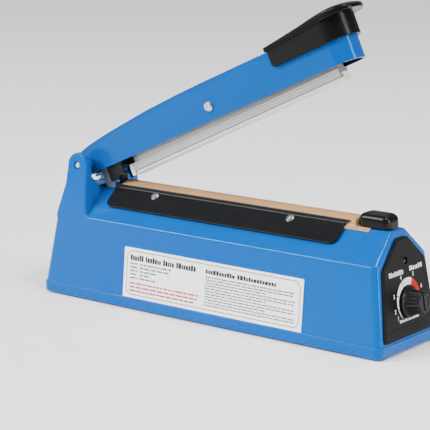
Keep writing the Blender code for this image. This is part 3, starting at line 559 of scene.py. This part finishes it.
def build_dial():
    rng = random.Random(7)
    white = [dial_band(a, b) for a, b in ((231, 202.4), (199.6, 163.4), (160.6, 120.4), (117.6, 66.0))]
    for a, b, base, height, count in ((-21.5, -3.2, 54.8, 3.5, 8), (5.4, 22.0, 55.3, 3.4, 8),
                                      (-13.2, 11.8, 21.0, 2.1, 13)):
        white += letters(rng, a, b, base, height, count, panel_at, PANEL_INK_H, 0.34)
    dress(join(white, "dial_print"), "base", PRINT_WHITE, None, even=False)
    dress(join([dial_band(64.2, 12.5)], "dial_red"), "base", PRINT_RED, None, even=False)
    digits = []
    for text, angle, radius in (("1", -145, 19.3), ("2", -163, 19.5), ("3", 165, 19.3), ("4", 115, 18.4),
                                ("5", 63, 18.6), ("6", 19, 18.9)):
        t = math.radians(angle)
        digits.append(digit(text, RING_Y + radius * math.cos(t), RING_S + radius * math.sin(t)))
    dress(join(digits, "dial_digits"), "base", PRINT_WHITE, None, even=False)
    fold = rounded(-32.6, 32.6, 16.9, 17.5, 0.25, 3)
    crease = slab("panel_crease", fold, panel_at, 1.7, 1.98)
    dress(soften(crease, 0.12, 2), "base", PANEL_BLACK, "panel_black", even=False)


def digit(text, y, s):
    """One figure of the dial, printed on the panel."""
    curve = bpy.data.curves.new("digit", "FONT")
    curve.body = text
    curve.size = 1.0
    curve.align_x = "CENTER"
    curve.align_y = "CENTER"
    curve.resolution_u = 4
    curve.offset = 0.022
    made = bpy.data.objects.new("digit", curve)
    bpy.context.scene.collection.objects.link(made)
    graph = bpy.context.evaluated_depsgraph_get()
    mesh = bpy.data.meshes.new_from_object(made.evaluated_get(graph))
    bpy.data.objects.remove(made, do_unlink=True)
    for vert in mesh.vertices:
        vert.co = panel_at(y + vert.co.x * DIGIT_SIZE * 0.85, s + vert.co.y * DIGIT_SIZE, PANEL_INK_H[1])
    obj = bpy.data.objects.new("digit", mesh)
    bpy.context.scene.collection.objects.link(obj)
    return obj


def letters(rng, start, end, base, height, count, at, levels, spacing=0.17):
    """Plain blocks of uneven width and height where the real sticker carries one word."""
    widths = [rng.uniform(0.75, 1.25) for _ in range(count)]
    gap = (end - start) / count * spacing
    unit = (end - start - gap * (count - 1)) / sum(widths)
    out, a = [], start
    for k, width in enumerate(widths):
        b = a + width * unit
        top = base + height * (1.0 if k == 0 or rng.random() < 0.35 else rng.uniform(0.72, 0.84))
        corner = min(0.25, (b - a) * 0.3)
        out.append(slab("letter", rounded(a, b, base, top, corner, 2), at, *levels))
        a = b + gap
    return out


def build_knob():
    dial = panel_at(0, DIAL_S, 0)
    turn = Vector((0, 0, 1)).rotation_difference(NORMAL)
    count = 216

    def ring(r, rib, h):
        points = []
        for k in range(count):
            t = 2 * math.pi * k / count
            wave = 0.5 - 0.5 * math.cos(KNOB_RIBS * t)
            radius = r - rib * wave ** 1.6
            points.append(dial + turn @ (Vector((radius * math.cos(t), radius * math.sin(t), h)) * MM))
        return points

    # radius, depth of the ribs, height above the panel
    steps = ((7.3, 0, 4.8), (7.3, 0, 2.25), (10.6, 0, 2.25), (10.9, 0, 2.5), (10.9, 0, 3.3),
             (10.6, 0, 3.7), (9.7, 0.1, 4.0), (9.5, 0.7, 4.6), (8.75, 0.8, 8.5), (8.1, 0.8, 13.6),
             (7.85, 0.6, 14.5), (7.4, 0.25, 15.1), (6.8, 0, KNOB_H), (6.1, 0, KNOB_H), (5.8, 0, 15.0),
             (3.0, 0, 14.95))
    knob = loft("knob_fluted", [ring(*step) for step in steps], 40)
    dress(knob, "knob", KNOB_BLACK, "knob_black", "timer_knob", even=False)
    line = rounded(-0.4, 0.4, DIAL_S - 5.6, DIAL_S + 5.6, 0.38, 4)
    mark = slab("knob_pointer", line, panel_at, 14.9, KNOB_H + 0.15)
    dress(soften(mark, 0.12, 2), "knob", KNOB_BLACK, "knob_black", even=False)


# ---------------------------------------------------------------- label
def frame_ring(outline, width, at, h0, h1):
    """A thin printed frame that follows an outline."""
    inner = inset(outline, width)
    n = len(outline)
    verts = [at(a, b, h) for h in (h0, h1) for ring in (outline, inner) for a, b in ring]
    faces = []
    for i in range(n):
        j = (i + 1) % n
        faces += [[i, j, n + j, n + i], [2 * n + i, 2 * n + j, 3 * n + j, 3 * n + i],
                  [i, j, 2 * n + j, 2 * n + i], [n + i, n + j, 3 * n + j, 3 * n + i]]
    return raw("ring", verts, faces)


def word_row(rng, x0, x1, z, height):
    """One line of generic text: blocks of word length with spaces, in one row."""
    out = []
    x = x0
    while x < x1 - height:
        length = min(height * rng.uniform(1.6, 5.2), x1 - x)
        top = z + height * 0.93
        block = [(x, z), (x + length, z), (x + length, top), (x, top)]
        out.append(slab("word", block, side_at, *LABEL_INK_H))
        x += length + height * 0.62
    return out


def build_label():
    rng = random.Random(4)
    sheet = rounded(-75.6, 92.6, 8.6, 47.3, 0.5, 2)
    base = slab("label_sheet", sheet, side_at, 0.12, 0.42)
    dress(base, "base", LABEL, "label_paper", "instruction_label", even=False)
    ink = [frame_ring(rounded(-73.0, 90.2, 10.9, 45.2, 5.4, 8), 0.55, side_at, *LABEL_INK_H)]
    for x0, x1 in ((-69.5, -56.6), (-54.4, -39.4), (-37.2, -26.6), (-24.4, -5.6)):
        ink += letters(rng, x0, x1, 37.7, 4.5, max(int((x1 - x0) / 2.1), 4), side_at, LABEL_INK_H)
    for x0, x1 in ((4.0, 31.0), (33.2, 68.5)):
        ink += letters(rng, x0, x1, 38.0, 3.4, int((x1 - x0) / 2.4), side_at, LABEL_INK_H)
    dress(join(ink, "label_headings"), "base", INK, None, even=False)
    grey = []
    for k, reach in enumerate((-29.0, -31.0, -43.0, -50.0, -44.0)):
        z = 34.6 - 2.75 * k
        grey += word_row(rng, -69.3, -61.5, z, 1.25)
        grey += word_row(rng, -60.0, reach, z, 1.25)
    for k in range(11):
        reach = 86.0 if k % 3 != 2 else 60.0
        grey += word_row(rng, 4.0, reach, 35.1 - 2.12 * k, 1.05)
    dress(join(grey, "label_lines"), "base", INK_GREY, None, even=False)
    red = []
    for k, reach in enumerate((-2.0, -3.0, -6.0)):
        red += word_row(rng, -69.3, reach, 19.4 - 2.9 * k, 1.35)
    dress(join(red, "label_red_lines"), "base", INK_RED, None, even=False)


# ---------------------------------------------------------------- bed
def sheet_profile(t):
    """Half of the fabric's section, from its crown to its foot; t blends it down on to the housing."""
    high = [(0.0, 90.92), (3.2, 90.90), (5.6, 90.15), (7.6, 89.45), (8.7, 88.95), (9.12, 88.2),
            (9.15, 86.6), (9.35, 85.45), (10.5, 84.2), (12.1, 82.85)]
    low = [(0.0, 85.15), (3.2, 85.15), (5.6, 85.15), (7.2, 85.15), (8.3, 85.15), (9.0, 85.10),
           (9.7, 84.85), (10.3, 84.36), (11.1, 83.7), (12.1, 82.85)]
    ease = t * t * (3 - 2 * t)
    return [(a + (c - a) * ease, b + (d - b) * ease) for (a, b), (c, d) in zip(high, low)]


def build_sheet():
    rng = random.Random(11)
    ridge_end = BED_X[1] - 1.0
    xs = [BED_X[0] + (ridge_end - BED_X[0]) * k / 120 for k in range(121)]
    xs += [ridge_end + k * 0.22 for k in range(1, 7)] + [120.5, 124.0, 128.0, SHEET_END_X]
    ripple = [rng.uniform(-1, 1) for _ in range(12)]
    rows = []
    for x in xs:
        t = min(max((x - ridge_end) / 1.2, 0.0), 1.0)
        half = sheet_profile(t)
        wave = sum(r * math.sin(x * (0.05 + 0.043 * k) + k) for k, r in enumerate(ripple)) / 12
        line = [(-a, b) for a, b in reversed(half[1:])] + half
        lift = 0.10 * wave * (1 - t)
        rows.append([place(x, a, b + lift * max(0.0, 1 - abs(a) / 9.0)) for a, b in line])
    n = len(rows[0])
    sheet = raw("fabric_strip", [p for row in rows for p in row], grid_faces(len(rows), n, False), 60)
    thick = sheet.modifiers.new("thick", "SOLIDIFY")
    thick.thickness = 0.2 * MM
    thick.offset = 0.0
    apply(sheet, 60)
    dress(sheet, "base", PTFE, "ptfe_fabric", "ptfe_sheet", even=False)
    width = 2 * sum(math.dist(p, q) for p, q in zip(sheet_profile(0), sheet_profile(0)[1:])) * MM


def on_slope(s, h):
    """(y, z) on the housing's slope: s up from the shoulder, h off its surface."""
    cos, sin = math.cos(SLOPE), math.sin(SLOPE)
    return SHOULDER_Y - s * cos + h * sin, SHOULDER_Z + s * sin + h * cos


def plate_section(side):
    """The clamp plate's L section: sloping leg, rounded bend and short upright flange."""
    outline = [(*on_slope(PLATE_LOW_S, 0.9), 0.3), (9.42, 85.75, 0.8), (9.42, FLANGE_TOP, 0.4),
               (10.6, FLANGE_TOP, 0.5), (10.6, 86.55, 1.6), (*on_slope(PLATE_LOW_S, 2.1), 0.5)]
    return [(side * a, b) for a, b in fillet(outline, closed=True, steps=4)]


def build_plates():
    x0, x1 = PLATE_X
    low, r = PLATE_LOW_S, 6.0
    nose = [(x1 + 6, low - 3), (x1 + 6, 31.0), (x1 - 1.0, 31.0), (x1, 29.4)]
    nose += arc(x1 - r, low + r, r, 0, -90, 10) + [(x1 - r, low - 3)]
    rear = [(x0 - 3, low - 3), (x0 + r, low - 3)] + arc(x0 + r, low + r, r, 270, 180, 10)
    rear.append((x0 - 3, low + r))
    for side, label in ((-1, "front"), (1, "back")):
        section = plate_section(side)
        ends = [[place(x, a, b) for a, b in section] for x in (x0, FLANGE_END_X)]
        plate = loft("clamp_" + label, ends)
        for outline in (nose, rear):

            def at(x, s, h):
                y, z = on_slope(s, h)
                return place(x, side * y, z)

            combine(plate, slab("corner", outline, at, 0.3, 4.0), "DIFFERENCE")
        tongue = [(x1 - 1.0, 86.4), (FLANGE_END_X, 88.3), (FLANGE_END_X + 2, 88.3),
                  (FLANGE_END_X + 2, 80.0), (x1 - 1.1, 80.0)]
        tool = slab("tongue", tongue, lambda x, z, h: place(x, side * h, z), 8.6, 13.5)
        combine(plate, tool, "DIFFERENCE")
        apply(soften(plate, 0.22, 2, 45))
        dress(plate, "base", PLATE_BLACK, "plate_black", "clamp_plate_" + label)


def build_cap():
    x0, x1 = CAP_X
    half, corner = 9.4, 5.6
    rings = []
    for z, d in ((85.6, 0.15), (85.8, 0.0), (89.6, 0.1), (90.6, 0.25)):
        outline = rounded(x0 + d, x1 - d, d - half, half - d, corner, 10)
        rings.append([place(x, y, z) for x, y in outline])
    r = 4.5
    for k in range(1, 9):
        t = math.pi / 2 * k / 8
        d = 0.25 + r * (1 - math.cos(t))
        z = 90.7 + r * math.sin(t)
        edge = max(corner - d * 0.8, 1.5)
        outline = rounded(x0 + d * 1.1, x1 - d * 1.25, d - half, half - d, edge, 10)
        rings.append([place(x, y, z) for x, y in outline])
    dress(loft("end_cap", rings, 50), "base", CAP_BLACK, "cap_black", "terminal_cap")


# ---------------------------------------------------------------- arm and grip
def arm_top(u):
    for (u0, v0), (u1, v1) in zip(ARM_TOP, ARM_TOP[1:]):
        if u <= u1:
            return v0 + (v1 - v0) * (u - u0) / (u1 - u0)
    return ARM_TOP[-1][1]


def smooth_top(u):
    """The arm's crown with its corners eased over a few millimetres."""
    return sum(arm_top(max(u + d, ARM_TAIL_U)) for d in (-3.0, -1.5, 0.0, 1.5, 3.0)) / 5


def plan_stations(start, centre, half, straight, nose):
    """Plan points on one side of the arm with their outward directions, nose included."""
    out = []
    for k in range(straight + 1):
        out.append((start + (centre - start) * k / straight, half, 0.0, 1.0))
    for k in range(1, nose + 1):
        t = math.pi / 2 * k / nose
        out.append((centre + half * math.sin(t), half * math.cos(t), math.sin(t), math.cos(t)))
    return out


def hood(name, stations, rows_at, surface=None):
    """A surface over plan stations: rows_at(u) lists (inset, v) from the lower edge to the crown.
    A row's v may be None: the point then lies on surface(u, y), moved by the row's third number."""
    sides = []
    for turn in (-1, 1):
        columns = []
        for u, w, nu, ny in stations:
            column = []
            for d, v, *shift in rows_at(u):
                pu, py = u - d * nu, turn * max(w - d * ny, 0.0)
                column.append(arm_at(pu, surface(pu, py) + shift[0] if v is None else v, py))
            columns.append(column)
        sides.append(columns)
    rows = len(sides[0][0])
    count = len(stations)
    verts = [p for columns in sides for column in columns for p in column]
    faces = []
    for s in range(2):
        base = s * count * rows
        for k in range(count - 1):
            for j in range(rows - 1):
                a = base + k * rows + j
                faces.append([a, a + rows, a + rows + 1, a + 1])
    other = count * rows
    for k in range(count - 1):
        a = k * rows + rows - 1
        faces.append([a, a + rows, other + a + rows, other + a])
    faces.append(list(range(rows)) + [other + j for j in reversed(range(rows))])
    return raw(name, verts, faces, ARM_SMOOTH)


def between(knots, u):
    """Reads a smooth line through (u, value) knots."""
    u = min(max(u, knots[0][0]), knots[-1][0])
    for i, ((u0, v0), (u1, v1)) in enumerate(zip(knots, knots[1:])):
        if u <= u1:
            t = (u - u0) / (u1 - u0)
            before = knots[i - 1] if i else (u0 - (u1 - u0), v0 - (v1 - v0))
            after = knots[i + 2] if i + 2 < len(knots) else (u1 + (u1 - u0), v1 + (v1 - v0))
            m0 = (v1 - before[1]) / (u1 - before[0]) * (u1 - u0)
            m1 = (after[1] - v0) / (after[0] - u0) * (u1 - u0)
            return ((2 * t ** 3 - 3 * t * t + 1) * v0 + (t ** 3 - 2 * t * t + t) * m0
                    + (3 * t * t - 2 * t ** 3) * v1 + (t ** 3 - t * t) * m1)
    return knots[-1][1]


def build_arm():
    r = 2.6

    def rows(u):
        top = smooth_top(u)
        line = [(0.0, 0.0), (0.0, top * 0.33), (0.0, top * 0.66), (0.0, top - r)]
        for k in range(1, 7):
            t = math.pi / 2 * k / 6
            line.append((r * (1 - math.cos(t)), top - r + r * math.sin(t)))
        return line

    arm = hood("arm_shell", plan_stations(ARM_TAIL_U, ARM_NOSE_U, ARM_HALF, 60, 20), rows)
    for mat in (BLUE_ARM_SHADED, ARM_INSIDE_SHADE):
        arm.data.materials.append(mat)
    # The wall's inner faces take the second material, the painted shade inside the arm.
    wall = arm.modifiers.new("wall", "SOLIDIFY")
    wall.material_offset = 1
    wall.thickness = ARM_WALL * MM
    wall.offset = -1.0
    wall.use_even_offset = True
    apply(arm, ARM_SMOOTH)
    pin = rod("hole", PIN_R + 0.1, -20, 20, arm_at(0, PIN_V, 0), (0, 1, 0))
    combine(arm, pin, "DIFFERENCE", ARM_SMOOTH)
    dress(arm, "arm", None, "blue_arm", "arm_channel")


LIP_RIM = ((199.0, 32.5), (210.0, 33.4), (222.0, 34.5), (236.0, 36.0), (249.0, 37.6), (258.0, 38.2),
           (266.0, 38.1), (272.0, 37.6), (276.7, 36.9))
LIP_CREST = ((199.0, 32.9), (210.0, 34.3), (222.0, 36.1), (236.0, 38.2), (249.0, 40.2), (258.0, 40.9),
             (266.0, 40.3), (272.0, 39.0), (276.7, 37.1))
LIP_LOW = ((199.0, 29.0), (229.0, 30.6), (242.0, 31.8), (255.0, 32.7), (266.0, 33.2), (276.7, 33.8))


def lip_top(u, y):
    """The thumb rest's domed top: crest height along the middle, rim height at its edge."""
    beyond = min(max(u - LIP_NOSE_U, 0.0), LIP_HALF - 0.01)
    share = min(abs(y) / math.sqrt(LIP_HALF ** 2 - beyond ** 2), 1.0)
    crest = between(LIP_CREST, u)
    return crest - (crest - between(LIP_RIM, u)) * share * share


def close_up(obj):
    """Fills a surface's open edge, so that it can be cut and joined."""
    bm = bmesh.new()
    bm.from_mesh(obj.data)
    bmesh.ops.holes_fill(bm, edges=[e for e in bm.edges if e.is_boundary], sides=0)
    bmesh.ops.recalc_face_normals(bm, faces=bm.faces[:])
    bm.to_mesh(obj.data)
    bm.free()
    return obj


def build_grip():
    def skirt_rows(u):
        low = 16.5 + max(u - 250.0, 0.0) * 0.04 + max(202.6 - u, 0.0)
        return [(1.9, low + 0.3), (1.5, low), (0.4, low), (0.0, low + 0.4), (0.0, 24.0), (0.0, 28.5),
                (0.0, between(LIP_LOW, u) + 0.5)]

    def lip_rows(u):
        low = between(LIP_LOW, u)
        r = 1.3
        line = [(3.4, low), (1.0, low), (0.25, low + 0.2), (0.0, low + 0.6), (0.0, low + 1.0),
                (0.32, low + 1.25), (0.32, low + 1.5), (0.0, low + 1.75)]
        for k in range(6):
            t = math.pi / 2 * k / 5
            line.append((r * (1 - math.cos(t)), None, -r * (1 - math.sin(t))))
        return line + [(d, None, 0.0) for d in (3.0, 5.0, 7.5, 10.0, 13.0, 16.0)]

    stations = plan_stations(200.8, ARM_NOSE_U, ARM_HALF + 2.7, 24, 20)
    grip = close_up(hood("grip_cap", stations, skirt_rows))
    stations = plan_stations(199.3, LIP_NOSE_U, LIP_HALF, 36, 22)
    lip = close_up(hood("lip", stations, lip_rows, surface=lip_top))
    combine(grip, lip, "UNION", ARM_SMOOTH)
    rows = [(0.0, 5.0), (0.0, 27.4), (0.8, 29.2), (2.6, 29.95)]
    stations = plan_stations(190.0, ARM_NOSE_U, ARM_HALF + 0.25, 4, 16)
    combine(grip, close_up(hood("inner", stations, lambda u: rows)), "DIFFERENCE", ARM_SMOOTH)
    dress(grip, "arm", GRIP_BLACK, "grip_black", "handle_grip")


# ---------------------------------------------------------------- spring
def build_spring():
    low, high = (c[2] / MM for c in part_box("return_spring"))
    centre = [(a + b) / 2 for a, b in zip(*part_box("return_spring"))]
    wire_r, coil, turns, steps, sides = 0.55, 3.9, 7, 36, 10
    low, high = low + wire_r, high - wire_r
    rows = []
    for k in range(turns * steps + 1):
        share = k / (turns * steps)
        flat = min(max((share - 0.09) / 0.82, 0.0), 1.0)
        t = 2 * math.pi * turns * share
        out = Vector((math.cos(t), math.sin(t), 0))
        mid = Vector((centre[0] / MM, centre[1] / MM, low + (high - low) * flat)) + out * coil
        ring = [mid + out * (wire_r * math.cos(w)) + Vector((0, 0, wire_r * math.sin(w)))
                for w in (2 * math.pi * j / sides for j in range(sides))]
        rows.append([p * MM for p in ring])
    spring = loft("coil_spring", rows, 60)
    # The spring is drawn near-black: painted shade of the slot under the saddle.
    dress(spring, "base", SHADED_STEEL, "spring_steel", "return_spring", even=False)
    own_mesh(spring)


def build_element_end():
    """The heating element's folded end, just showing past the fabric at the rear of the bed."""
    outline = [(-103.8, 88.9), (-102.9, 89.9), (-100.6, 90.35), (-100.6, 90.75), (-103.2, 90.4),
               (-104.3, 89.4)]
    tab = slab("element_end", outline, lambda x, z, y: place(x, y, z), -2.6, 2.6)
    dress(soften(tab, 0.12, 2), "base", WHITE, "nichrome", even=False)


# ---------------------------------------------------------------- stage
def build_stage():
    corners = [(x * FLOOR_HALF, y * FLOOR_HALF, 0) for x, y in ((-1, -1), (1, -1), (1, 1), (-1, 1))]
    floor = raw("floor", corners, [[0, 1, 2, 3]])
    mat = stuff("floor_paper", (0.90, 0.90, 0.90), 0.85, vary=0.01, grain=0.02, specular=0.1)
    floor.data.materials.append(mat)
    world = bpy.data.worlds.new("studio")
    world.use_nodes = True
    back = world.node_tree.nodes["Background"]
    back.inputs["Color"].default_value = (1.0, 1.0, 1.0, 1)
    back.inputs["Strength"].default_value = WORLD_STRENGTH
    bpy.context.scene.world = world
    target = Vector((-0.02, 0, 0.09))
    sun = bpy.data.lights.new("sun", "SUN")
    sun.energy = SUN_STRENGTH
    sun.angle = math.radians(38)
    aim(sun, (-0.50, -1.0, 0.95), target)
    # name, place, width, height and watts of each soft box
    lights = (("strip", (1.40, 0.10, 0.50), 0.22, 1.0, 22.0),
              ("key", (-1.35, -1.35, 1.10), 0.80, 0.09, 44.0),
              ("top", (0.78, -0.20, 1.50), 0.22, 0.22, 17.0),
              ("back", (-0.2, 0.9, 1.6), 1.6, 0.8, 8.0))
    for name, spot, wide, tall, power in lights:
        data = bpy.data.lights.new(name, "AREA")
        data.shape = "RECTANGLE"
        data.size = wide
        data.size_y = tall
        data.energy = power
        aim(data, spot, target)


def aim(data, spot, target):
    lamp = bpy.data.objects.new(data.name, data)
    lamp.location = spot
    lamp.rotation_euler = (target - Vector(spot)).to_track_quat("-Z", "Y").to_euler()
    bpy.context.scene.collection.objects.link(lamp)


def build_camera():
    azimuth, elevation, distance = math.radians(37.81), math.radians(12.26), 1.3273
    target = place(-15.9, 0, 73.7)
    away = Vector((math.sin(azimuth) * math.cos(elevation), -math.cos(azimuth) * math.cos(elevation),
                   math.sin(elevation)))
    data = bpy.data.cameras.new("camera")
    data.sensor_width = 36.0
    data.lens = 145.55
    data.clip_end = 50.0
    camera = bpy.data.objects.new("camera", data)
    camera.location = target + away * distance
    camera.rotation_euler = (-away).to_track_quat("-Z", "Y").to_euler()
    bpy.context.scene.collection.objects.link(camera)
    bpy.context.scene.camera = camera


build_camera()
build_stage()
dress_nodes()
build_housing()
build_panel()
build_dial()
build_knob()
build_label()
build_sheet()
build_plates()
build_cap()
build_arm()
build_grip()
build_spring()
build_element_end()
